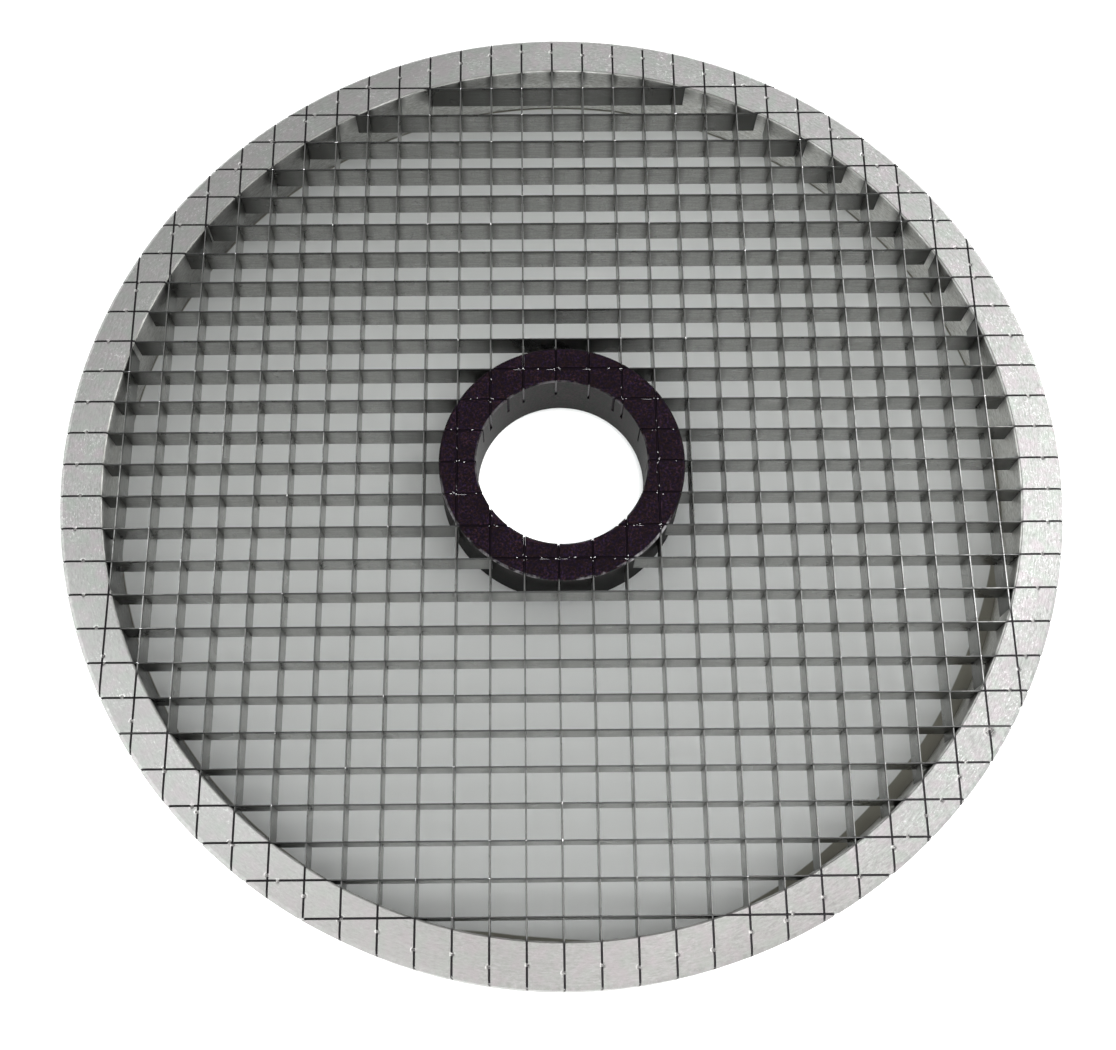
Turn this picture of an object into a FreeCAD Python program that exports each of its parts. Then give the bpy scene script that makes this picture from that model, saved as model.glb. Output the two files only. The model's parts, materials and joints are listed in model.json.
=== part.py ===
import FreeCAD, Part
import math
import os

# Dicing grid of a restaurant vegetable cutter.
# A flat aluminium ring and a black plastic hub carry two crossing sets of thin steel blades.
# The blades stand on edge in saw cuts in the ring and the hub, and halve into each other like
# the dividers of an egg box.  Soft food is pushed down through the square cells.
#
# Millimetres.  The origin is the middle of the ring's underside, on the axis of the ring and
# the hub.  +Z points up, towards the cutting side.  Cross blades run along X, long blades
# along Y.

# ---- driving dimensions ----------------------------------------------------------------

ring_outer_radius = 93.0
ring_inner_radius = 85.25
ring_height = 14.0
ring_outer_chamfer = 0.7
ring_inner_chamfer = 0.3

hub_outer_radius = 23.0
hub_bore_radius = 16.0
hub_height = 13.8             # the ring, not the hub, stands on the seat
hub_recess = 0.1              # the hub's face lies this far below the ring's
hub_outer_chamfer = 0.4
hub_bore_chamfer = 0.3

blade_pitch = 6.25
blades_each_way = 27
blade_height = 6.4
blade_thickness = 0.32
edge_land = 0.16              # flat that is left along a cutting edge
edge_grind_height = 0.5       # how far down a blade's sides the grinding reaches
blade_recess = 0.2            # cutting edges lie this far below the ring's top face
flush_blade = -8              # this cross blade stands level with the ring's top face
grid_shift_x = -0.85          # the long blades sit this far off the ring's axis
side_gap = 0.03               # free space on each side of a blade, in slots and half-laps
lap_gap = 0.05                # free space above and below the middle of a half-lap
smallest_tooth = 0.1          # least metal that a notch leaves at the end of a blade
outer_end_gap = 0.3           # from a blade's outer end to the ring's outer wall
bore_end_gap = 0.3            # from a blade's inner end to the wall of the bore

first_blind_slot = -1         # these long slots stop short of the ring's rear edge
last_blind_slot = 3
blind_slot_margin = 1.0
blind_end_gap = 0.1

stake_radius = 89.7           # the circle of punch marks that lock the blades in the ring
stake_scatter = 0.5           # how far a mark strays along its slot
stake_length = 0.5            # metal that the punch has closed over a blade
stake_dent_radius = 0.55
stake_dent_depth = 0.12
stake_dent_offset = 0.15      # the punch stands a little to one side of the slot
heavy_dent_radius = 1.1       # one blow that spread the metal beside the flush blade
heavy_dent_depth = 0.2
heavy_dent_offset = 0.9

# ---- sizes that follow -----------------------------------------------------------------

top = ring_height
blade_top = top - blade_recess
blade_bottom = blade_top - blade_height
blade_middle = (blade_top + blade_bottom) / 2
slot_width = blade_thickness + 2 * side_gap
outer_end_radius = ring_outer_radius - outer_end_gap
inner_end_radius = hub_bore_radius + bore_end_gap
half_count = (blades_each_way - 1) // 2
line_numbers = range(-half_count, half_count + 1)
past_the_edge = 2.0           # how far a cutter runs beyond the surface that it opens


def cross_line_y(number):
    """Place of a cross blade along Y."""
    return number * blade_pitch


def long_line_x(number):
    """Place of a long blade along X."""
    return number * blade_pitch + grid_shift_x


def half_chord(radius, offset):
    """Half the length that a line at this offset from the axis has inside a circle."""
    return math.sqrt(max(radius**2 - offset**2, 0.0))


def is_blind(number):
    """True for a long slot that stops short of the ring's rear edge."""
    return first_blind_slot <= number <= last_blind_slot


def clear_end(end, crossing_lines):
    """A blade's outer end, cut back where it would otherwise fall in a crossing slot."""
    for place in crossing_lines:
        if abs(end - place) < slot_width / 2 + smallest_tooth:
            return place - math.copysign(slot_width / 2, end)
    return end


# ---- blades ----------------------------------------------------------------------------

def spans_of(line_offset, low_end, high_end):
    """A line that meets the bore is two blades, and any other line is one."""
    if abs(line_offset) >= inner_end_radius:
        return [(low_end, high_end)]
    inner = half_chord(inner_end_radius, line_offset)
    return [(low_end, -inner), (inner, high_end)]


def cross_spans(number):
    """The stretches of X that one line of cross blades covers."""
    y = cross_line_y(number)
    lines = [long_line_x(n) for n in line_numbers]
    end = half_chord(outer_end_radius, y)
    return spans_of(y, clear_end(-end, lines), clear_end(end, lines))


def long_spans(number):
    """The stretches of Y that one line of long blades covers."""
    x = long_line_x(number)
    lines = [cross_line_y(n) for n in line_numbers]
    rear_radius = outer_end_radius
    if is_blind(number):
        rear_radius = ring_outer_radius - blind_slot_margin - blind_end_gap
    front = -half_chord(outer_end_radius, x)
    rear = half_chord(rear_radius, x)
    return spans_of(x, clear_end(front, lines), clear_end(rear, lines))


def inside(place, spans):
    return any(low < place < high for low, high in spans)


def crossings_on_cross_blade(number):
    """X of every long blade that a cross blade meets."""
    y = cross_line_y(number)
    met = [n for n in line_numbers if inside(y, long_spans(n))]
    return [long_line_x(n) for n in met if inside(long_line_x(n), cross_spans(number))]


def crossings_on_long_blade(number):
    """Y of every cross blade that a long blade meets."""
    x = long_line_x(number)
    met = [n for n in line_numbers if inside(x, cross_spans(n))]
    return [cross_line_y(n) for n in met if inside(cross_line_y(n), long_spans(number))]


def cutting_edge(number):
    """Height of a cross blade's cutting edge."""
    return top if number == flush_blade else blade_top


def section_outline(middle, edge):
    """End view of a blade as (distance across, height), with its cutting edge ground narrow."""
    half = blade_thickness / 2
    land = edge_land / 2
    shoulder = edge - edge_grind_height
    return [
        (middle - half, blade_bottom),
        (middle + half, blade_bottom),
        (middle + half, shoulder),
        (middle + land, edge),
        (middle - land, edge),
        (middle - half, shoulder),
    ]


def notch(x, y, low, high):
    """The space that a half-lap takes out of a blade where a blade of the other set crosses."""
    corner = FreeCAD.Vector(x - slot_width / 2, y - slot_width / 2, low)
    return Part.makeBox(slot_width, slot_width, high - low, corner)


def extruded(vectors, direction):
    wire = Part.makePolygon(vectors + [vectors[0]])
    return Part.Face(wire).extrude(direction)


def cross_blade(number):
    """Cross blades are notched from below, so their cutting edges are unbroken."""
    y = cross_line_y(number)
    outline = section_outline(y, cutting_edge(number))
    low_z = blade_bottom - past_the_edge
    high_z = blade_middle + lap_gap
    notches = [notch(x, y, low_z, high_z) for x in crossings_on_cross_blade(number)]
    solids = []
    for low, high in cross_spans(number):
        vectors = [FreeCAD.Vector(low, across, z) for across, z in outline]
        strip = extruded(vectors, FreeCAD.Vector(high - low, 0, 0))
        solids += strip.cut(notches).Solids
    return Part.makeCompound(solids)


def long_blade(number):
    """Long blades are notched from above and pass under the cross blades."""
    x = long_line_x(number)
    outline = section_outline(x, blade_top)
    low_z = blade_middle - lap_gap
    high_z = top + past_the_edge
    notches = [notch(x, y, low_z, high_z) for y in crossings_on_long_blade(number)]
    solids = []
    for low, high in long_spans(number):
        vectors = [FreeCAD.Vector(across, low, z) for across, z in outline]
        strip = extruded(vectors, FreeCAD.Vector(0, high - low, 0))
        solids += strip.cut(notches).Solids
    return Part.makeCompound(solids)


# ---- slots and punch marks -------------------------------------------------------------

def stake_places(line_offset, number):
    """Both places along a line where a punch has closed the ring over the blade."""
    rear = half_chord(stake_radius, line_offset) + stake_scatter * math.sin(5.0 * number)
    front = half_chord(stake_radius, line_offset) + stake_scatter * math.cos(3.0 * number)
    return [-front, rear]


def slot_outline(low, high, stakes):
    """Side view of a saw cut, left bridged at the top where the ring is staked."""
    points = [(low, blade_bottom), (low, top + past_the_edge)]
    for place in stakes:
        left = place - stake_length / 2
        right = place + stake_length / 2
        above = top + past_the_edge
        points += [(left, above), (left, blade_top), (right, blade_top), (right, above)]
    return points + [(high, top + past_the_edge), (high, blade_bottom)]


def cross_slot(number, stakes):
    y = cross_line_y(number) - slot_width / 2
    end = ring_outer_radius + past_the_edge
    vectors = [FreeCAD.Vector(x, y, z) for x, z in slot_outline(-end, end, stakes)]
    return extruded(vectors, FreeCAD.Vector(0, slot_width, 0))


def long_slot(number, stakes):
    x = long_line_x(number) - slot_width / 2
    front = -(ring_outer_radius + past_the_edge)
    rear = ring_outer_radius + past_the_edge
    if is_blind(number):
        rear = half_chord(ring_outer_radius - blind_slot_margin, long_line_x(number))
    vectors = [FreeCAD.Vector(x, y, z) for y, z in slot_outline(front, rear, stakes)]
    return extruded(vectors, FreeCAD.Vector(slot_width, 0, 0))


def dent(x, y, radius, depth):
    """The shallow hollow that a round-nosed punch leaves."""
    nose = (radius**2 + depth**2) / (2 * depth)
    return Part.makeSphere(nose, FreeCAD.Vector(x, y, top - depth + nose))


def dent_offset(number):
    """The punch stands now on one side of the slot and now on the other."""
    return stake_dent_offset if number % 2 else -stake_dent_offset


def cross_line_cutters(number):
    """What one line of cross blades takes out of the ring."""
    y = cross_line_y(number)
    stakes = stake_places(y, number)
    if number == flush_blade:
        hit = dent(stakes[1], y - heavy_dent_offset, heavy_dent_radius, heavy_dent_depth)
        return [cross_slot(number, []), hit]
    dents = [dent(x, y + dent_offset(number), stake_dent_radius, stake_dent_depth) for x in stakes]
    return [cross_slot(number, stakes)] + dents


def long_line_cutters(number):
    """What one line of long blades takes out of the ring."""
    x = long_line_x(number)
    stakes = stake_places(x, number)
    dents = [dent(x + dent_offset(number), y, stake_dent_radius, stake_dent_depth) for y in stakes]
    return [long_slot(number, stakes)] + dents


# ---- ring and hub ----------------------------------------------------------------------

def turned(outline):
    """A solid of revolution from (radius, height) points."""
    vectors = [FreeCAD.Vector(radius, 0, height) for radius, height in outline]
    face = Part.Face(Part.makePolygon(vectors + [vectors[0]]))
    return face.revolve(FreeCAD.Vector(0, 0, 0), FreeCAD.Vector(0, 0, 1), 360)


def annulus(inner, outer, bottom, high, inner_chamfer, outer_chamfer):
    """A ring from bottom to high, with all four edges broken."""
    return turned([
        (inner, bottom + inner_chamfer),
        (inner + inner_chamfer, bottom),
        (outer - outer_chamfer, bottom),
        (outer, bottom + outer_chamfer),
        (outer, high - outer_chamfer),
        (outer - outer_chamfer, high),
        (inner + inner_chamfer, high),
        (inner, high - inner_chamfer),
    ])


def outer_ring():
    body = annulus(ring_inner_radius, ring_outer_radius, 0.0, top, ring_inner_chamfer, ring_outer_chamfer)
    cutters = []
    for number in line_numbers:
        cutters += cross_line_cutters(number) + long_line_cutters(number)
    return body.cut(cutters)


def centre_hub():
    high = top - hub_recess
    bottom = high - hub_height
    body = annulus(hub_bore_radius, hub_outer_radius, bottom, high, hub_bore_chamfer, hub_outer_chamfer)
    cutters = []
    for number in line_numbers:
        if abs(cross_line_y(number)) < hub_outer_radius:
            cutters.append(cross_slot(number, []))
        if abs(long_line_x(number)) < hub_outer_radius:
            cutters.append(long_slot(number, []))
    return body.cut(cutters)


# ---- one file for each piece -----------------------------------------------------------

def save(name, shape):
    shape.exportStep("parts/" + name + ".step")
    print(name, "solids", len(shape.Solids), "valid", shape.isValid(), "mm3", round(shape.Volume, 2))


os.makedirs("parts", exist_ok=True)
save("outer_ring", outer_ring())
save("centre_hub", centre_hub())
for number in line_numbers:
    count = number + half_count + 1
    save("cross_blade_%02d" % count, cross_blade(number))
    save("long_blade_%02d" % count, long_blade(number))
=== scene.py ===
import json
import math
import random

import bmesh
import bpy
from mathutils import Euler, Matrix, Vector


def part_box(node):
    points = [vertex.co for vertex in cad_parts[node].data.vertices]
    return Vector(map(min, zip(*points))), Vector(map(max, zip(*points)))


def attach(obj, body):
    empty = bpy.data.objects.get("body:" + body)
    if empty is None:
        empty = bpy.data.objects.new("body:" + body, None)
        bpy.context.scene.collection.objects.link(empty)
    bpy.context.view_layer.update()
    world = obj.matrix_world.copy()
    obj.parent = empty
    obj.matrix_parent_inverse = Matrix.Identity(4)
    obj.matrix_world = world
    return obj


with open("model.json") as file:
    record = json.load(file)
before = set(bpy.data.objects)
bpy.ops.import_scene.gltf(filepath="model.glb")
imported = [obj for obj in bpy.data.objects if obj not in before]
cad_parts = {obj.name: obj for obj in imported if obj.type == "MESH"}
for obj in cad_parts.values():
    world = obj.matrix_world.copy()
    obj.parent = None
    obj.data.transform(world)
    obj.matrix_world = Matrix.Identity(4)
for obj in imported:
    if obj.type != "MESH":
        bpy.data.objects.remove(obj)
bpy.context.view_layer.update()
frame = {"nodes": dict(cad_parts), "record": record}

# A dicing grid lying on a pale studio floor.  Metres, in the model's own frame: +Z up, with
# the grid's axis on Z and its underside on the floor.  -Y is the side nearest the camera.

MM = 0.001
RING_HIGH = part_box("outer_ring")[1]
HUB_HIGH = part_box("centre_hub")[1]
TOP_Z = RING_HIGH.z
HUB_TOP_Z = HUB_HIGH.z
RING_RADIUS = RING_HIGH.x
HUB_RADIUS = HUB_HIGH.x
BORE_RADIUS = frame["record"]["mounts"][0]["dims"]["r_mm"] * MM
RING_FACE_WIDTH = 7.75 * MM
RING_INNER_RADIUS = RING_RADIUS - RING_FACE_WIDTH
BLADE_RECESS = 0.2 * MM
EDGE_Z = TOP_Z - BLADE_RECESS
GRIND_HEIGHT = 0.5 * MM
BLADE_PITCH = 6.25 * MM
LINES_EACH_SIDE = 13
GRID_SHIFT = -0.85 * MM

# ---- camera ----------------------------------------------------------------------------

CAMERA_DISTANCE = 0.29416
CAMERA_ELEVATION = 69.011
CAMERA_AZIMUTH = -1.207
CAMERA_ROLL = 0.722
CAMERA_TARGET = Vector((-4.01 * MM, 6.12 * MM, TOP_Z))
CAMERA_LENS = 50.578
CAMERA_SENSOR = 36.0
CAMERA_SHIFT = (0.016, -0.085)
CAMERA_CLIP_START = 0.01


def add_camera():
    data = bpy.data.cameras.new("camera")
    data.lens = CAMERA_LENS
    data.sensor_width = CAMERA_SENSOR
    data.shift_x, data.shift_y = CAMERA_SHIFT
    data.clip_start = CAMERA_CLIP_START
    camera = bpy.data.objects.new("camera", data)
    azimuth, elevation = math.radians(CAMERA_AZIMUTH), math.radians(CAMERA_ELEVATION)
    back = Vector((
        math.sin(azimuth) * math.cos(elevation),
        -math.cos(azimuth) * math.cos(elevation),
        math.sin(elevation),
    ))
    turn = (-back).to_track_quat("-Z", "Y").to_matrix().to_4x4()
    roll = Matrix.Rotation(math.radians(CAMERA_ROLL), 4, "Z")
    place = Matrix.Translation(CAMERA_TARGET + back * CAMERA_DISTANCE)
    camera.matrix_world = place @ turn @ roll
    bpy.context.scene.collection.objects.link(camera)
    bpy.context.scene.camera = camera


# ---- studio ----------------------------------------------------------------------------

SIDE_WALLS = 1.2
RIGHT_WALL_EXTRA = 1.3
FRONT_WALL = 1.7
OVERHEAD = 0.75
HORIZON = 0.95
TENT_COLOUR = (0.985, 1.0, 0.995, 1)

# Where each wall of the tent fades in, on one component of the view direction.
SIDE_FADE = (0.18, 0.62)
RIGHT_FADE = (0.15, 0.7)
FRONT_FADE = (0.1, 0.7)
HORIZON_FADE = (0.0, 0.3)

# Name, place, side of the square, watts, colour.
SOFTBOXES = (
    ("key_light", (0.9, 0.15, 0.75), 0.5, 9.0, (1.0, 0.995, 0.985)),
    ("fill_panel", (0.2, -0.16, 0.5), 0.5, 1.15, (0.985, 1.0, 1.0)),
    ("left_panel", (-0.7, -0.35, 0.55), 0.4, 3.0, (0.985, 1.0, 1.0)),
)

FLOOR_HALF_SIZE = 3.0


def add_softbox(name, place, size, power, colour):
    """A square area light that faces the middle of the grid."""
    data = bpy.data.lights.new(name, "AREA")
    data.shape = "SQUARE"
    data.size = size
    data.energy = power
    data.color = colour
    light = bpy.data.objects.new(name, data)
    light.location = place
    light.rotation_mode = "QUATERNION"
    light.rotation_quaternion = (-Vector(place)).to_track_quat("-Z", "Y")
    bpy.context.scene.collection.objects.link(light)


def add_world():
    """A light tent: bright to the left, the right and the front, dim overhead and behind."""
    world = bpy.data.worlds.new("studio")
    world.use_nodes = True
    w = NodeTree(world.node_tree)
    direction = w.node("ShaderNodeTexCoord").outputs["Generated"]
    x, y, z = w.split(direction)
    sides = w.smooth(w.maths("ABSOLUTE", x), *SIDE_FADE)
    right = w.times(w.smooth(x, *RIGHT_FADE), RIGHT_WALL_EXTRA)
    front = w.times(w.smooth(w.times(y, -1.0), *FRONT_FADE), FRONT_WALL)
    walls = w.maths("MAXIMUM", w.times(sides, SIDE_WALLS), front)
    dome = w.plus(w.plus(walls, right), OVERHEAD)
    above = w.smooth(z, *HORIZON_FADE)
    level = w.plus(w.times(dome, above), w.times(w.minus(1.0, above), HORIZON))
    background = world.node_tree.nodes["Background"]
    w.link(level, background.inputs["Strength"])
    background.inputs["Color"].default_value = TENT_COLOUR
    bpy.context.scene.world = world


def add_floor():
    size = FLOOR_HALF_SIZE
    mesh = bpy.data.meshes.new("floor")
    corners = [(-size, -size, 0), (size, -size, 0), (size, size, 0), (-size, size, 0)]
    mesh.from_pydata(corners, [], [(0, 1, 2, 3)])
    floor = bpy.data.objects.new("floor", mesh)
    bpy.context.scene.collection.objects.link(floor)
    mesh.materials.append(floor_paper())


# ---- procedural materials --------------------------------------------------------------

class NodeTree:
    """Short calls for the shader nodes that the materials and the studio are made of."""

    def __init__(self, tree):
        self.tree = tree

    def node(self, kind, **settings):
        node = self.tree.nodes.new(kind)
        for name, value in settings.items():
            setattr(node, name, value)
        return node

    def link(self, source, socket):
        """Feed the socket from another socket, or give it a number, a vector or a colour."""
        if isinstance(source, tuple) and len(source) == 3 and socket.type != "VECTOR":
            source = (*source, 1)
        if isinstance(source, (int, float, tuple)):
            socket.default_value = source
        else:
            self.tree.links.new(source, socket)

    def maths(self, operation, a, b=0.0, clamp=False):
        node = self.node("ShaderNodeMath", operation=operation, use_clamp=clamp)
        self.link(a, node.inputs[0])
        self.link(b, node.inputs[1])
        return node.outputs[0]

    def plus(self, a, b):
        return self.maths("ADD", a, b)

    def minus(self, a, b):
        return self.maths("SUBTRACT", a, b)

    def times(self, a, b):
        return self.maths("MULTIPLY", a, b)

    def split(self, vector):
        node = self.node("ShaderNodeSeparateXYZ")
        self.link(vector, node.inputs[0])
        return node.outputs[0], node.outputs[1], node.outputs[2]

    def combined(self, x=0.0, y=0.0, z=0.0):
        node = self.node("ShaderNodeCombineXYZ")
        for socket, value in zip(node.inputs, (x, y, z)):
            self.link(value, socket)
        return node.outputs[0]

    def between(self, value, start, end):
        """0 before start, 1 past end, and a straight rise from one to the other."""
        return self.maths("DIVIDE", self.minus(value, start), end - start, clamp=True)

    def smooth(self, value, start, end):
        """0 before start, 1 past end, and an eased rise from one to the other."""
        node = self.node("ShaderNodeMapRange", interpolation_type="SMOOTHSTEP")
        self.link(value, node.inputs["Value"])
        node.inputs["From Min"].default_value = start
        node.inputs["From Max"].default_value = end
        return node.outputs["Result"]


class Recipe(NodeTree):
    """A node material on the Principled shader."""

    def __init__(self, name, colour, roughness, metallic=0.0):
        self.material = bpy.data.materials.new(name)
        self.material.use_nodes = True
        super().__init__(self.material.node_tree)
        self.shader = self.tree.nodes["Principled BSDF"]
        self.shader.inputs["Base Color"].default_value = (*colour, 1)
        self.shader.inputs["Roughness"].default_value = roughness
        self.shader.inputs["Metallic"].default_value = metallic
        self.coords = self.node("ShaderNodeTexCoord").outputs["Object"]

    def scaled(self, scale):
        """The object's coordinates, stretched along each axis."""
        node = self.node("ShaderNodeMapping")
        self.link(self.coords, node.inputs["Vector"])
        node.inputs["Scale"].default_value = scale
        return node.outputs[0]

    def noise(self, size, detail=3.0, vector=None, roughness=0.5):
        """Noise whose features are about this size, in metres."""
        node = self.node("ShaderNodeTexNoise")
        node.inputs["Scale"].default_value = 1.0 / size
        node.inputs["Detail"].default_value = detail
        node.inputs["Roughness"].default_value = roughness
        self.link(vector or self.coords, node.inputs["Vector"])
        return node.outputs["Fac"]

    def ramp(self, fac, stops):
        """stops are (position, value), with a value that is a grey or a colour."""
        node = self.node("ShaderNodeValToRGB")
        elements = node.color_ramp.elements
        while len(elements) < len(stops):
            elements.new(0.5)
        for element, (position, value) in zip(elements, stops):
            element.position = position
            element.color = (*value, 1) if isinstance(value, tuple) else (value, value, value, 1)
        self.link(fac, node.inputs["Fac"])
        return node.outputs["Color"]

    def mix(self, fac, a, b, blend="MIX"):
        node = self.node("ShaderNodeMix", data_type="RGBA", blend_type=blend)
        self.link(fac, node.inputs[0])
        self.link(a, node.inputs[6])
        self.link(b, node.inputs[7])
        return node.outputs[2]

    def layer(self, under, mask, cover, over):
        """Lay a colour over another where the mask is 1, with this much cover."""
        return self.mix(self.times(mask, cover), under, over)

    def bump(self, height, distance, normal=None):
        node = self.node("ShaderNodeBump")
        node.inputs["Distance"].default_value = distance
        self.link(height, node.inputs["Height"])
        if normal:
            self.link(normal, node.inputs["Normal"])
        return node.outputs[0]

    def radius(self):
        """Distance from the Z axis, in metres."""
        node = self.node("ShaderNodeVectorMath", operation="LENGTH")
        self.link(self.scaled((1, 1, 0)), node.inputs[0])
        return node.outputs["Value"]

    def from_line(self, across):
        """Distance to the nearest line of the blade grid, in metres."""
        return self.maths("PINGPONG", across, BLADE_PITCH / 2)

    def use(self, **sockets):
        for name, source in sockets.items():
            self.link(source, self.shader.inputs[name.replace("_", " ").title()])
        return self.material


# The floor paper.  Angles are round the Z axis, from +X; a fade is (where it starts, where it
# is full), in radians or metres.
PAPER = (0.93, 0.94, 0.935)
# The colour of painted shade on the paper inside the ring.
SHADED_PAPER = (0.2, 0.2, 0.19)
# The colour of a painted shadow on the paper.
SHADOWED_PAPER = (0.27, 0.26, 0.22)
# The painted shadow along the foot of the ring's inner wall: widest at the front right, a sliver
# at the front, a thin line all round.
CRESCENT_WIDTH = 2.4 * MM
CRESCENT_NEAR_FADE = (math.radians(-74), math.radians(-46))
CRESCENT_FAR_FADE = (math.radians(12), math.radians(-30))
SLIVER_WIDTH = 1.15 * MM
SLIVER_LEFT_FADE = (math.radians(-107), math.radians(-98))
SLIVER_RIGHT_FADE = (math.radians(-81), math.radians(-94))
FOOT_SHADE = 0.2 * MM
SHADOW_BLUR = 0.1 * MM
# Where the painted shade on the paper lies: towards the far left and towards the right.
SHADE_FAR_LEFT_FADE = (0.03, 0.12)
SHADE_FAR_LEFT_SHARE = 0.17
SHADE_RIGHT_FADE = (0.02, 0.075)
SHADE_RIGHT_SHARE = 0.13
BORE_GLOW = 0.5


def floor_paper():
    """White paper, with painted shade inside the ring and a painted shadow along the front of the
    ring's foot.

    It glows faintly under the bore, where the photo shows it as white as the background.
    """
    r = Recipe("floor_paper", PAPER, roughness=0.9)
    x, y, _ = r.split(r.coords)
    radius = r.radius()
    turn = r.maths("ARCTAN2", y, x)
    # Painted shadow along the foot of the ring's inner wall.
    crescent = r.times(r.smooth(turn, *CRESCENT_NEAR_FADE), r.smooth(turn, *CRESCENT_FAR_FADE))
    sliver = r.times(r.smooth(turn, *SLIVER_LEFT_FADE), r.smooth(turn, *SLIVER_RIGHT_FADE))
    shadow_width = r.plus(r.times(crescent, CRESCENT_WIDTH), r.times(sliver, SLIVER_WIDTH))
    inner_edge = r.minus(RING_INNER_RADIUS, r.plus(shadow_width, FOOT_SHADE))
    shade = r.between(r.minus(radius, inner_edge), -SHADOW_BLUR, SHADOW_BLUR)
    inside = r.between(radius, RING_RADIUS - 1 * MM, RING_RADIUS - 2 * MM)
    # Painted shade on the paper inside the ring, towards the far left and the right.
    far_left = r.times(r.smooth(r.minus(y, x), *SHADE_FAR_LEFT_FADE), SHADE_FAR_LEFT_SHARE)
    right = r.times(r.smooth(x, *SHADE_RIGHT_FADE), SHADE_RIGHT_SHARE)
    colour = r.layer(PAPER, r.maths("MAXIMUM", far_left, right), inside, SHADED_PAPER)
    colour = r.layer(colour, shade, inside, SHADOWED_PAPER)
    glow = r.between(radius, BORE_RADIUS, BORE_RADIUS - 1 * MM)
    r.link((1.0, 1.0, 1.0), r.shader.inputs["Emission Color"])
    r.link(r.times(glow, BORE_GLOW), r.shader.inputs["Emission Strength"])
    return r.use(Base_Color=colour)


# The ring's metal.  A tone with two parts is (its cover, its colour).  A range is where a mask
# starts and where it is full, on a noise.  A fade is the same on x, y or their sum or
# difference, in metres, and picks out a side of the ring.
ALUMINIUM = (
    (0.32, (0.205, 0.205, 0.198)), (0.5, (0.28, 0.28, 0.273)), (0.66, (0.36, 0.36, 0.355)),
)
WARM_CAST = (0.5, (0.325, 0.280, 0.302))
GREEN_CAST = (0.4, (0.265, 0.305, 0.268))
FLECK = (0.76, 0.76, 0.75)
PIT = (0.6, (0.11, 0.11, 0.105))
DULL_PATCH = (0.3, (0.23, 0.235, 0.228))
TURNING_MARK = (0.3, (0.18, 0.18, 0.172))
# Painted shade on the face at the far left, the lower right and the front, and painted light at
# the lower left.
FAR_LEFT_SHADE = (0.45, (0.14, 0.14, 0.135))
FAR_LEFT_FADE = (0.085, 0.127)
LOWER_RIGHT_SHADE = (0.22, (0.06, 0.06, 0.058))
LOWER_RIGHT_FADE = (0.100, 0.122)
LOWER_LEFT_LIGHT = (0.2, (0.55, 0.55, 0.54))
LOWER_LEFT_FADE = (-0.100, -0.122)
FRONT_SHADE = (0.4, (0.20, 0.185, 0.18))
FRONT_FADE_Y = (-0.06, -0.088)
WARM_RANGE = (0.46, 0.62)
GREEN_RANGE = (0.5, 0.64)
FLECK_RANGE = (0.55, 0.67)
PIT_RANGE = (0.37, 0.30)
DULL_PATCH_RANGE = (0.5, 0.75)
TURNING_RANGE = (0.54, 0.7)
BUSY_RANGE = (0.40, 0.60)
BUSY_FADE_Y = (-0.085, -0.05)
BUSY_SHARE = 0.6
BUSY_SHARE_IN_FRONT = 0.15
FLECKS_EVERYWHERE = 0.1
# Dark and bright speckle in the punch marks: painted shade and painted glints of the dent walls.
DENT_SHADE_AND_GLINT = ((0.42, (0.05, 0.046, 0.048)), (0.55, (0.19, 0.185, 0.18)), (0.68, (0.42, 0.41, 0.4)))
# Painted shade over the inner chamfer's highlight, and where it is strongest.
CHAMFER_SHADE = (0.085, 0.085, 0.08)
CHAMFER_SHADE_FAR = ((-0.03, 0.06), 0.8)  # fade on y, share
CHAMFER_SHADE_LEFT = ((-0.04, -0.08), 0.4)  # fade on x, share
CHAMFER_SHADE_ALL = 0.15
CHAMFER_BREAK_RANGE = (0.62, 0.38)
CHAMFER_BREAK_SHARE = 0.3
# Painted shade on the inner wall under the rim beside each slot.
WALL_SLOT_SHADE = (0.09, 0.09, 0.085)
WALL_SLOT_SHADE_RANGE = (0.30, 0.60)
ALUMINIUM_ROUGHNESS = ((0.3, 0.60), (0.7, 0.40))

# Painted light and shade on the ring's inner wall: how bright it is, by the turn round the axis
# from -X by way of -Y.
WALL_LIGHT_BY_TURN = (
    (0.0, 0.8), (0.05, 0.26), (0.11, 0.14), (0.3, 0.45), (0.44, 0.85), (0.5, 1.0),
    (0.6, 1.0), (0.75, 1.0), (0.83, 0.65), (0.9, 0.34), (0.96, 0.7), (1.0, 0.8),
)
WALL_STAINS = ((0.36, (0.60, 0.595, 0.56)), (0.62, (1.0, 0.998, 0.98)))


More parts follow.
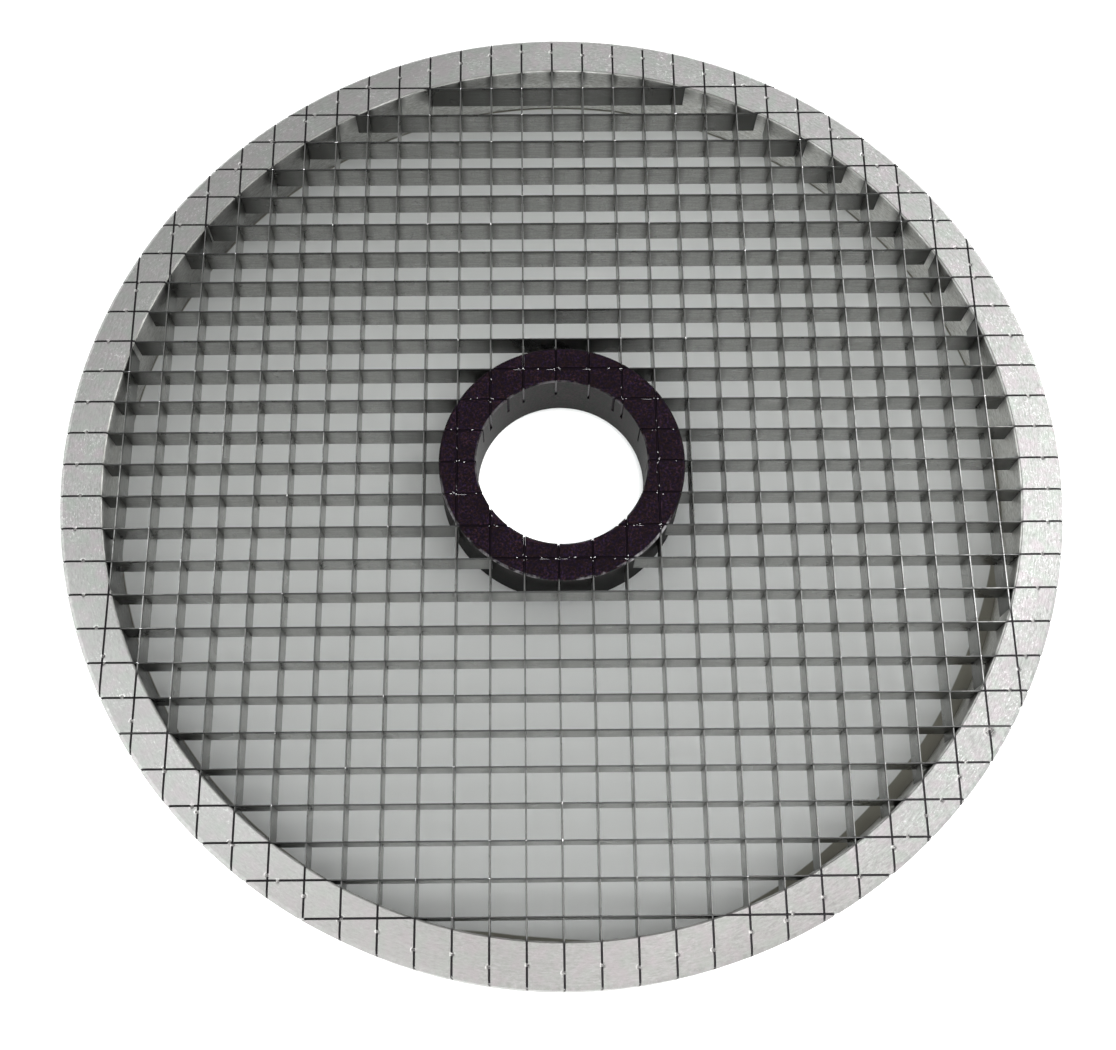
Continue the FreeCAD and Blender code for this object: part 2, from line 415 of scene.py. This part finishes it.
def ring_face(r, mottle, fine, patches, turning):
    """The cast face: mottled, with warm and green casts, bright flecks, pits, tool marks, and
    painted light and shade by side.
    """
    x, y, _ = r.split(r.coords)
    warm = r.between(r.noise(2.2 * MM, detail=4.0), *WARM_RANGE)
    green = r.between(r.noise(2.7 * MM, detail=4.0), *GREEN_RANGE)
    busy = r.between(r.noise(5 * MM, detail=3.0), *BUSY_RANGE)
    behind_front = r.times(r.smooth(y, *BUSY_FADE_Y), BUSY_SHARE)
    busy = r.times(busy, r.plus(behind_front, BUSY_SHARE_IN_FRONT))
    flecked = r.plus(busy, FLECKS_EVERYWHERE)
    colour = r.ramp(mottle, ALUMINIUM)
    colour = r.layer(colour, warm, *WARM_CAST)
    colour = r.layer(colour, green, *GREEN_CAST)
    colour = r.layer(colour, r.between(fine, *FLECK_RANGE), flecked, FLECK)
    colour = r.layer(colour, r.between(fine, *PIT_RANGE), *PIT)
    colour = r.layer(colour, r.between(patches, *DULL_PATCH_RANGE), *DULL_PATCH)
    colour = r.layer(colour, r.between(turning, *TURNING_RANGE), *TURNING_MARK)
    # Painted shade at the far left, the lower right and the front; painted light at the lower
    # left.
    colour = r.layer(colour, r.smooth(r.minus(y, x), *FAR_LEFT_FADE), *FAR_LEFT_SHADE)
    colour = r.layer(colour, r.smooth(r.minus(x, y), *LOWER_RIGHT_FADE), *LOWER_RIGHT_SHADE)
    colour = r.layer(colour, r.smooth(r.plus(x, y), *LOWER_LEFT_FADE), *LOWER_LEFT_LIGHT)
    return r.layer(colour, r.smooth(y, *FRONT_FADE_Y), *FRONT_SHADE)


def ring_dents(r, height, radius):
    """1 in the punch marks: on the face, clear of its broken edges, and below its plane."""
    sunk = r.between(height, TOP_Z - 0.06 * MM, TOP_Z - 0.09 * MM)
    off_inner_edge = r.between(radius, RING_INNER_RADIUS + 1.0 * MM, RING_INNER_RADIUS + 1.1 * MM)
    off_outer_edge = r.between(radius, RING_RADIUS - 1.0 * MM, RING_RADIUS - 1.1 * MM)
    return r.times(sunk, r.times(off_inner_edge, off_outer_edge))


def ring_wall(r, mottle, height):
    """The inner wall: painted light and shade round it, stained, and painted shade under the rim
    beside each slot.
    """
    x, y, _ = r.split(r.coords)
    turn = r.plus(r.maths("DIVIDE", r.maths("ARCTAN2", y, x), 2 * math.pi), 0.5)
    # Painted light and shade on the inner wall by its turn, times its stains.
    wall = r.mix(1.0, r.ramp(turn, WALL_LIGHT_BY_TURN), r.ramp(mottle, WALL_STAINS), blend="MULTIPLY")
    from_slot = r.maths("MINIMUM", r.from_line(r.minus(x, GRID_SHIFT)), r.from_line(y))
    beside_slot = r.between(from_slot, 1.3 * MM, 0.3 * MM)
    under_rim = r.smooth(height, TOP_Z - 6 * MM, TOP_Z - 1 * MM)
    # Painted shade under the rim beside each slot, in patches.
    return r.layer(wall, r.times(beside_slot, under_rim), r.between(mottle, *WALL_SLOT_SHADE_RANGE), WALL_SLOT_SHADE)


def ring_chamfer(r, height, radius, patches):
    """How much painted shade covers the inner chamfer's highlight: most at the far side, in
    patches.
    """
    x, y, _ = r.split(r.coords)
    on_chamfer = r.times(
        r.between(radius, RING_INNER_RADIUS + 0.34 * MM, RING_INNER_RADIUS + 0.28 * MM),
        r.between(height, TOP_Z - 0.34 * MM, TOP_Z - 0.28 * MM))
    far_fade, far_share = CHAMFER_SHADE_FAR
    left_fade, left_share = CHAMFER_SHADE_LEFT
    far = r.times(r.smooth(y, *far_fade), far_share)
    left = r.times(r.smooth(x, *left_fade), left_share)
    chamfer_shade = r.maths("ADD", far, r.plus(left, CHAMFER_SHADE_ALL), clamp=True)
    broken = r.times(r.between(patches, *CHAMFER_BREAK_RANGE), CHAMFER_BREAK_SHARE)
    breaks = r.plus(broken, 1 - CHAMFER_BREAK_SHARE)
    return r.times(r.times(on_chamfer, chamfer_shade), breaks)


def ring_aluminium():
    """Cast and turned aluminium: mottled in short streaks round the ring, with bright flecks."""
    r = Recipe("ring_aluminium", (0.3, 0.3, 0.295), roughness=0.5, metallic=1.0)
    radius = r.radius()
    x, y, height = r.split(r.coords)
    across = r.plus(radius, height)
    mottle = r.noise(1.1 * MM, detail=6.0, roughness=0.74,
                     vector=r.combined(x, y, r.times(across, 3.5)))
    fine = r.noise(0.6 * MM, detail=5.0, roughness=0.8,
                   vector=r.combined(x, y, r.times(across, 1.6)))
    patches = r.noise(9 * MM, detail=3.0)
    turning = r.noise(0.26 * MM, detail=4.0, vector=r.combined(radius), roughness=0.7)
    colour = ring_face(r, mottle, fine, patches, turning)
    # Painted shade and glints in the punch marks.
    colour = r.mix(ring_dents(r, height, radius), colour, r.ramp(fine, DENT_SHADE_AND_GLINT))
    on_wall = r.between(radius, RING_INNER_RADIUS + 0.2 * MM, RING_INNER_RADIUS + 0.1 * MM)
    colour = r.mix(on_wall, colour, ring_wall(r, mottle, height))
    # Painted shade over the inner chamfer's highlight.
    colour = r.mix(ring_chamfer(r, height, radius, patches), colour, CHAMFER_SHADE)
    rough = r.ramp(mottle, ALUMINIUM_ROUGHNESS)
    normal = r.bump(mottle, 0.05 * MM)
    normal = r.bump(fine, 0.02 * MM, normal)
    normal = r.bump(turning, 0.012 * MM, normal)
    return r.use(Base_Color=colour, Roughness=rough, Normal=normal)


# The hub's plastic.  A pair of colours is a violet and a red on the face, and a green and a red
# on the walls, where the lighter copy of the plastic is painted light.
PLASTIC_DARK = ((0.0022, 0.0012, 0.0030), (0.0034, 0.0018, 0.0018))
PLASTIC_LIGHT = ((0.013, 0.007, 0.022), (0.024, 0.010, 0.013))
LIT_HUB_WALL_DARK = ((0.008, 0.010, 0.009), (0.012, 0.009, 0.010))
LIT_HUB_WALL_LIGHT = ((0.020, 0.026, 0.022), (0.033, 0.024, 0.027))
# The colour of painted highlights on the hub's top edges.
HUB_GLINT = (0.14, 0.135, 0.14)
PLASTIC_SPECULAR = 0.03
PLASTIC_ROUGHNESS = ((0.3, 0.42), (0.7, 0.62))
TINT_RANGE = (0.44, 0.56)
SPECK_RANGE = (0.485, 0.66)
SPECK_PATCH_RANGE = (0.38, 0.6)
SPECK_PATCH_SHARE = 0.75
SPECKS_EVERYWHERE = 0.5
LIT_HUB_WALL_RANGE = (0.43, 0.60)
HUB_GLINT_RANGE = (0.46, 0.62)
LIP_SHARE = 0.35


def hub_edge_glint(r, height, radius):
    """Painted highlights on the top of the hub: along its front corner, and fainter on the bore's
    lip.
    """
    y = r.split(r.coords)[1]
    corner = r.times(r.between(radius, HUB_RADIUS - 0.45 * MM, HUB_RADIUS - 0.3 * MM),
                     r.smooth(y, 0.0, -0.010))
    lip = r.times(r.between(radius, BORE_RADIUS + 0.35 * MM, BORE_RADIUS + 0.2 * MM),
                  r.between(height, HUB_TOP_Z - 0.5 * MM, HUB_TOP_Z - 0.3 * MM))
    glint_patches = r.between(r.noise(5 * MM, detail=6.0, roughness=0.7), *HUB_GLINT_RANGE)
    on_top = r.between(height, HUB_TOP_Z - 0.6 * MM, HUB_TOP_Z - 0.4 * MM)
    return r.times(r.times(r.plus(corner, r.times(lip, LIP_SHARE)), glint_patches), on_top)


def hub_plastic():
    """Black plastic peppered violet and red, with painted light on the bore and side, and painted
    highlights on its edges.
    """
    r = Recipe("hub_plastic", (0.004, 0.002, 0.004), roughness=0.5)
    r.shader.inputs["Specular IOR Level"].default_value = PLASTIC_SPECULAR
    radius = r.radius()
    height = r.split(r.coords)[2]
    specks = r.noise(0.45 * MM, detail=5.0, roughness=0.85)
    tint = r.between(r.noise(0.6 * MM, detail=5.0, roughness=0.75), *TINT_RANGE)
    patches = r.times(r.between(r.noise(3.5 * MM, detail=3.0), *SPECK_PATCH_RANGE),
                      SPECK_PATCH_SHARE)
    share = r.times(r.between(specks, *SPECK_RANGE), r.plus(patches, SPECKS_EVERYWHERE))
    face = r.mix(share, r.mix(tint, *PLASTIC_DARK), r.mix(tint, *PLASTIC_LIGHT))
    # Painted light: the bore and the side get a lighter copy of the plastic.
    wall = r.mix(r.between(specks, *LIT_HUB_WALL_RANGE),
                 r.mix(tint, *LIT_HUB_WALL_DARK), r.mix(tint, *LIT_HUB_WALL_LIGHT))
    bore = r.between(radius, BORE_RADIUS + 0.12 * MM, BORE_RADIUS + 0.02 * MM)
    side = r.between(radius, HUB_RADIUS - 0.15 * MM, HUB_RADIUS - 0.05 * MM)
    colour = r.mix(r.maths("MAXIMUM", bore, side), face, wall)
    # Painted highlights along the hub's front corner and the bore's lip, broken into patches.
    colour = r.mix(hub_edge_glint(r, height, radius), colour, HUB_GLINT)
    normal = r.bump(r.noise(0.4 * MM, detail=3.0), 0.03 * MM)
    rough = r.ramp(specks, PLASTIC_ROUGHNESS)
    return r.use(Base_Color=colour, Roughness=rough, Normal=normal)


# The blades' steel.  A tone with two parts is (its cover, its colour).
STEEL_STREAKS = ((0.3, (0.28, 0.28, 0.268)), (0.7, (0.56, 0.562, 0.55)))
STEEL_SPECKLE = (0.30, 0.298, 0.288)
STEEL_CLOUD = (0.3, (0.34, 0.335, 0.325))
# Painted shade in the cells' corners and close to the ring.
STEEL_CORNER_SHADE = (0.6, (0.13, 0.13, 0.122))
STEEL_SHADED = (0.09, 0.09, 0.085)
STEEL_RING_SHADE = (0.6, (0.06, 0.06, 0.055))
# Painted shade on the grind of the blade's edge.
GRIND_SHADE = (0.20, 0.20, 0.195)
# Painted shade on the blades' edges where they sit sunk in the ring's and the hub's slots.
RING_SLOT_SHADE = (0.035, 0.032, 0.035)
HUB_SLOT_SHADE = (0.014, 0.010, 0.014)
STEEL_ROUGHNESS = ((0.3, 0.34), (0.7, 0.24))
SPECKLE_RANGE = (0.44, 0.66)
GRAIN_STRETCH = 0.07
NEAR_HUB_FADE_Y = (-0.026, -0.012)
NEAR_HUB_SHARE = 0.65

# What moves the share of a cutting edge that carries the painted highlight: more outwards, for
# each metre from the middle; less towards the front and at the far left.
EDGE_SHINE_OUTWARD = 3.6
EDGE_GLINT_LESS_FORWARD = 0.14
EDGE_GLINT_LESS_FORWARD_FADE = (-0.02, -0.06)
EDGE_GLINT_LESS_FAR_LEFT = 0.25
EDGE_GLINT_LESS_FAR_LEFT_FADE = (0.06, 0.11)
EDGE_GAP_RANGE = (0.32, 0.5)

# Edge colours: painted shade on the edge, and a painted highlight along it.
CROSS_BLADE = {
    "edge_shade": (0.09, 0.09, 0.09), "edge_glint": (0.45, 0.45, 0.44),
    "edge_share": (0.72, 1.0), "shaded_share": 0.9,
}
LONG_BLADE = {
    "edge_shade": (0.19, 0.19, 0.185), "edge_glint": (0.55, 0.55, 0.54),
    "edge_share": (0.64, 0.84), "shaded_share": 0.3,
}


def blade_side(r, streaks, clouds, from_crossing, radius, y, shaded_share):
    """Rolled steel, with painted shade in the cells' corners and close to the ring and the hub."""
    speckle = r.noise(0.35 * MM, detail=4.0, roughness=0.75)
    corner = r.between(from_crossing, 1.7 * MM, 0.5 * MM)
    near_ring = r.smooth(radius, RING_INNER_RADIUS - 8 * MM, RING_INNER_RADIUS - 1.5 * MM)
    ring_shade_mask = r.smooth(radius, RING_INNER_RADIUS - 3 * MM, RING_INNER_RADIUS - 0.6 * MM)
    near_hub = r.times(r.smooth(radius, HUB_RADIUS + 15 * MM, HUB_RADIUS + 2 * MM),
                       r.smooth(y, *NEAR_HUB_FADE_Y))
    colour = r.ramp(streaks, STEEL_STREAKS)
    colour = r.mix(r.between(speckle, *SPECKLE_RANGE), colour, STEEL_SPECKLE)
    colour = r.layer(colour, clouds, *STEEL_CLOUD)
    # Painted shade in the cells' corners, close to the ring and close to the hub.
    colour = r.layer(colour, corner, *STEEL_CORNER_SHADE)
    colour = r.layer(colour, near_ring, shaded_share, STEEL_SHADED)
    colour = r.layer(colour, ring_shade_mask, *STEEL_RING_SHADE)
    return r.layer(colour, near_hub, shaded_share * NEAR_HUB_SHARE, STEEL_SHADED)


def blade_edge(r, x, y, edge_shade, edge_glint, edge_share):
    """The cutting edge: painted shade, with a painted highlight line that comes and goes along it.
    """
    outward = r.times(r.maths("ABSOLUTE", x), EDGE_SHINE_OUTWARD)
    forward = r.times(r.smooth(y, *EDGE_GLINT_LESS_FORWARD_FADE), EDGE_GLINT_LESS_FORWARD)
    far_left = r.times(r.smooth(r.minus(y, x), *EDGE_GLINT_LESS_FAR_LEFT_FADE), EDGE_GLINT_LESS_FAR_LEFT)
    shine = r.plus(r.noise(16 * MM, detail=5.0, roughness=0.7),
                   r.minus(r.minus(outward, forward), far_left))
    gaps = r.between(r.noise(1.1 * MM, detail=3.0), *EDGE_GAP_RANGE)
    return r.mix(r.times(r.between(shine, *edge_share), gaps), edge_shade, edge_glint)


def blade_steel(name, axis, edge_shade, edge_glint, edge_share, shaded_share):
    """Strip steel with its rolling grain along the blade, painted shade on its grind and sunk
    edges, and a painted highlight on its edge.

    The blade runs along this axis, 0 for X and 1 for Y.
    """
    r = Recipe(name, (0.6, 0.6, 0.59), roughness=0.3, metallic=1.0)
    x, y, height = r.split(r.coords)
    radius = r.radius()
    grain = (1, GRAIN_STRETCH, 1) if axis else (GRAIN_STRETCH, 1, 1)
    streaks = r.noise(0.3 * MM, detail=4.0, vector=r.scaled(grain), roughness=0.7)
    clouds = r.noise(7 * MM, detail=3.0)
    from_crossing = r.from_line(r.plus(y if axis else x, 0.0 if axis else -GRID_SHIFT))
    colour = blade_side(r, streaks, clouds, from_crossing, radius, y, shaded_share)
    grind_z = EDGE_Z - GRIND_HEIGHT
    grind = r.between(height, grind_z - 0.05 * MM, grind_z + 0.05 * MM)
    # Painted shade on the grind.
    colour = r.mix(grind, colour, GRIND_SHADE)
    edge = r.between(height, EDGE_Z - 0.04 * MM, EDGE_Z - 0.01 * MM)
    # Painted shade and a painted highlight along the cutting edge.
    colour = r.mix(edge, colour, blade_edge(r, x, y, edge_shade, edge_glint, edge_share))
    sunk = r.between(height, TOP_Z - 0.05 * MM, TOP_Z - 0.1 * MM)
    in_ring = r.between(radius, RING_INNER_RADIUS - 0.3 * MM, RING_INNER_RADIUS + 0.3 * MM)
    in_hub = r.between(radius, HUB_RADIUS + 0.1 * MM, HUB_RADIUS - 0.4 * MM)
    # Painted shade on the edges sunk in the ring's and the hub's slots.
    colour = r.layer(colour, in_ring, sunk, RING_SLOT_SHADE)
    colour = r.layer(colour, in_hub, sunk, HUB_SLOT_SHADE)
    rough = r.ramp(clouds, STEEL_ROUGHNESS)
    return r.use(Base_Color=colour, Roughness=rough, Normal=r.bump(streaks, 0.006 * MM))


BURR_TONES = ((0.35, (0.45, 0.42, 0.45)), (0.6, (0.9, 0.9, 0.9)))


def burr_metal():
    r = Recipe("burr_metal", (0.75, 0.74, 0.74), roughness=0.3, metallic=1.0)
    tone = r.ramp(r.noise(0.2 * MM, detail=3.0), BURR_TONES)
    return r.use(Base_Color=tone, Normal=r.bump(r.noise(0.1 * MM), 0.01 * MM))


def dress(node, material):
    for slot in frame["nodes"][node].material_slots:
        slot.material = material


def dress_cad_nodes():
    steel = {
        "cross_blade": blade_steel("cross_blade_steel", 0, **CROSS_BLADE),
        "long_blade": blade_steel("long_blade_steel", 1, **LONG_BLADE),
    }
    dress("outer_ring", ring_aluminium())
    dress("centre_hub", hub_plastic())
    for node in frame["nodes"]:
        family = node[:-3]
        if family in steel:
            dress(node, steel[family])


# ---- burrs -----------------------------------------------------------------------------

# How a flake is shaped.  Its section is (across, up), as parts of its width and height.
FLAKE_ROWS = 5
FLAKE_SECTION = ((-0.5, 0.0), (-0.2, 0.8), (0.15, 1.0), (0.5, 0.0))
FLAKE_TIP = 0.12
FLAKE_TAPER = 0.76
FLAKE_SWELL = (0.6, 1.0)
FLAKE_BEND = 0.25

# Where flakes lie on the hub, and how many.  A pair is the least and the most, in millimetres.
# A spread or a turn is the standard deviation of a draw, in metres or radians.
HUB_BURRS_SEED = 11
HUB_BURR_SINK = 0.01 * MM
HUB_BURR_MARGIN = 0.6 * MM
HUB_LINES_EACH_SIDE = 3
CROSSING_FLAKES = 3
CROSSING_SPREAD = 0.35 * MM
CROSSING_FLAKE_SIZE = (0.1, 0.3)
CROSSING_FLAKE_HEIGHT = 0.06 * MM
LINE_FLAKES = 14
LINE_SPREAD = 0.15 * MM
LINE_FLAKE_LENGTH = (0.12, 0.45)
LINE_FLAKE_WIDTH = 0.12 * MM
LINE_FLAKE_HEIGHT = 0.05 * MM
LINE_FLAKE_TURN = 0.3
CURLS = 3
CURL_LENGTH = (0.8, 2.4)
CURL_WIDTH = 0.07 * MM
CURL_HEIGHT = 0.03 * MM
CURL_OFFSET = 0.22 * MM
CURL_MARGIN = 1 * MM
CURL_TURN = 0.01

# Flakes at the crossings of the open grid.
GRID_BURRS_SEED = 5
GRID_BURR_SINK = 0.02 * MM
GRID_BURR_LENGTH = (0.25, 0.6)
GRID_BURR_WIDTH = 0.22 * MM
GRID_BURR_HEIGHT = 0.14 * MM
GRID_BURR_TURN = 0.1
GRID_BURR_CHANCE = 0.08
GRID_BURR_CHANCE_AT_RING = 0.25


def add_flake(mesh, rng, place, length, width, height, turn):
    """A torn flake of metal: an uneven ridge that lies on the surface at place."""
    rows = []
    for i in range(FLAKE_ROWS):
        t = i / (FLAKE_ROWS - 1)
        swell = math.sin(math.pi * (FLAKE_TIP + FLAKE_TAPER * t)) * rng.uniform(*FLAKE_SWELL)
        along = (t - 0.5) * length
        bend = rng.uniform(-FLAKE_BEND, FLAKE_BEND) * width
        row = []
        for side, rise in FLAKE_SECTION:
            point = Vector((along, bend + side * width * swell, rise * height * swell))
            point.rotate(Euler((0, 0, turn)))
            row.append(mesh.verts.new(Vector(place) + point))
        rows.append(row)
    corners = len(FLAKE_SECTION)
    for near, far in zip(rows, rows[1:]):
        for k in range(corners):
            after = (k + 1) % corners
            mesh.faces.new((near[k], near[after], far[after], far[k]))
    mesh.faces.new(rows[0][::-1])
    mesh.faces.new(rows[-1])


def add_piece(name, mesh, material):
    """Make the flakes one piece that rides on root."""
    bmesh.ops.recalc_face_normals(mesh, faces=mesh.faces)
    data = bpy.data.meshes.new(name)
    mesh.to_mesh(data)
    mesh.free()
    data.materials.append(material)
    piece = bpy.data.objects.new(name, data)
    bpy.context.scene.collection.objects.link(piece)
    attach(piece, "root")


def line_crossings(inner, outer):
    """Where the two sets of blade lines cross, between two radii."""
    lines = range(-LINES_EACH_SIDE, LINES_EACH_SIDE + 1)
    for i in lines:
        for j in lines:
            x, y = i * BLADE_PITCH + GRID_SHIFT, j * BLADE_PITCH
            if inner < math.hypot(x, y) < outer:
                yield x, y


def add_flake_at_crossing(mesh, rng, x, y, face):
    dx, dy = rng.gauss(0, CROSSING_SPREAD), rng.gauss(0, CROSSING_SPREAD)
    size = rng.uniform(*CROSSING_FLAKE_SIZE) * MM
    turn = rng.uniform(0, math.pi)
    add_flake(mesh, rng, (x + dx, y + dy, face), size, size * 0.5, CROSSING_FLAKE_HEIGHT, turn)


def add_flake_on_line(mesh, rng, line, inner, outer, face):
    at, on_cross = rng.uniform(-outer, outer), rng.random() < 0.5
    off = rng.gauss(0, LINE_SPREAD)
    if on_cross:
        x, y = at, line * BLADE_PITCH + off
    else:
        x, y = line * BLADE_PITCH + GRID_SHIFT + off, at
    if inner < math.hypot(x, y) < outer:
        length = rng.uniform(*LINE_FLAKE_LENGTH) * MM
        turn = (0 if on_cross else math.pi / 2) + rng.gauss(0, LINE_FLAKE_TURN)
        add_flake(mesh, rng, (x, y, face), length, LINE_FLAKE_WIDTH, LINE_FLAKE_HEIGHT, turn)


def add_curl_on_line(mesh, rng, line, inner, outer, face):
    """A long thin curl on the near side of a cross blade."""
    at = rng.uniform(-outer, outer)
    if inner + CURL_MARGIN < math.hypot(at, line * BLADE_PITCH) < outer - CURL_MARGIN:
        length = rng.uniform(*CURL_LENGTH) * MM
        turn = rng.gauss(0, CURL_TURN)
        place = (at, line * BLADE_PITCH - CURL_OFFSET, face)
        add_flake(mesh, rng, place, length, CURL_WIDTH, CURL_HEIGHT, turn)


def add_hub_burrs(material):
    """Flakes that the blades pushed up where they pass over the hub's face."""
    rng = random.Random(HUB_BURRS_SEED)
    mesh = bmesh.new()
    face = HUB_TOP_Z - HUB_BURR_SINK
    inner, outer = BORE_RADIUS + HUB_BURR_MARGIN, HUB_RADIUS - HUB_BURR_MARGIN
    for x, y in line_crossings(inner, outer):
        for _ in range(CROSSING_FLAKES):
            add_flake_at_crossing(mesh, rng, x, y, face)
    for line in range(-HUB_LINES_EACH_SIDE, HUB_LINES_EACH_SIDE + 1):
        for _ in range(LINE_FLAKES):
            add_flake_on_line(mesh, rng, line, inner, outer, face)
        for _ in range(CURLS):
            add_curl_on_line(mesh, rng, line, inner, outer, face)
    add_piece("hub_burrs", mesh, material)


def add_grid_burrs(material):
    """Specks of bright metal at some of the blades' crossings, more of them near the ring."""
    rng = random.Random(GRID_BURRS_SEED)
    mesh = bmesh.new()
    for x, y in line_crossings(HUB_RADIUS + 2 * MM, RING_INNER_RADIUS - 0.5 * MM):
        outward = (math.hypot(x, y) / RING_INNER_RADIUS) ** 4
        chance = GRID_BURR_CHANCE + GRID_BURR_CHANCE_AT_RING * outward
        if rng.random() < chance:
            length = rng.uniform(*GRID_BURR_LENGTH) * MM
            turn = rng.choice((0, math.pi / 2)) + rng.gauss(0, GRID_BURR_TURN)
            place = (x, y, EDGE_Z - GRID_BURR_SINK)
            add_flake(mesh, rng, place, length, GRID_BURR_WIDTH, GRID_BURR_HEIGHT, turn)
    add_piece("grid_burrs", mesh, material)


# ---- the scene -------------------------------------------------------------------------

dress_cad_nodes()
burrs = burr_metal()
add_hub_burrs(burrs)
add_grid_burrs(burrs)
add_floor()
add_world()
for softbox in SOFTBOXES:
    add_softbox(*softbox)
bpy.context.scene.view_settings.view_transform = "Standard"
add_camera()
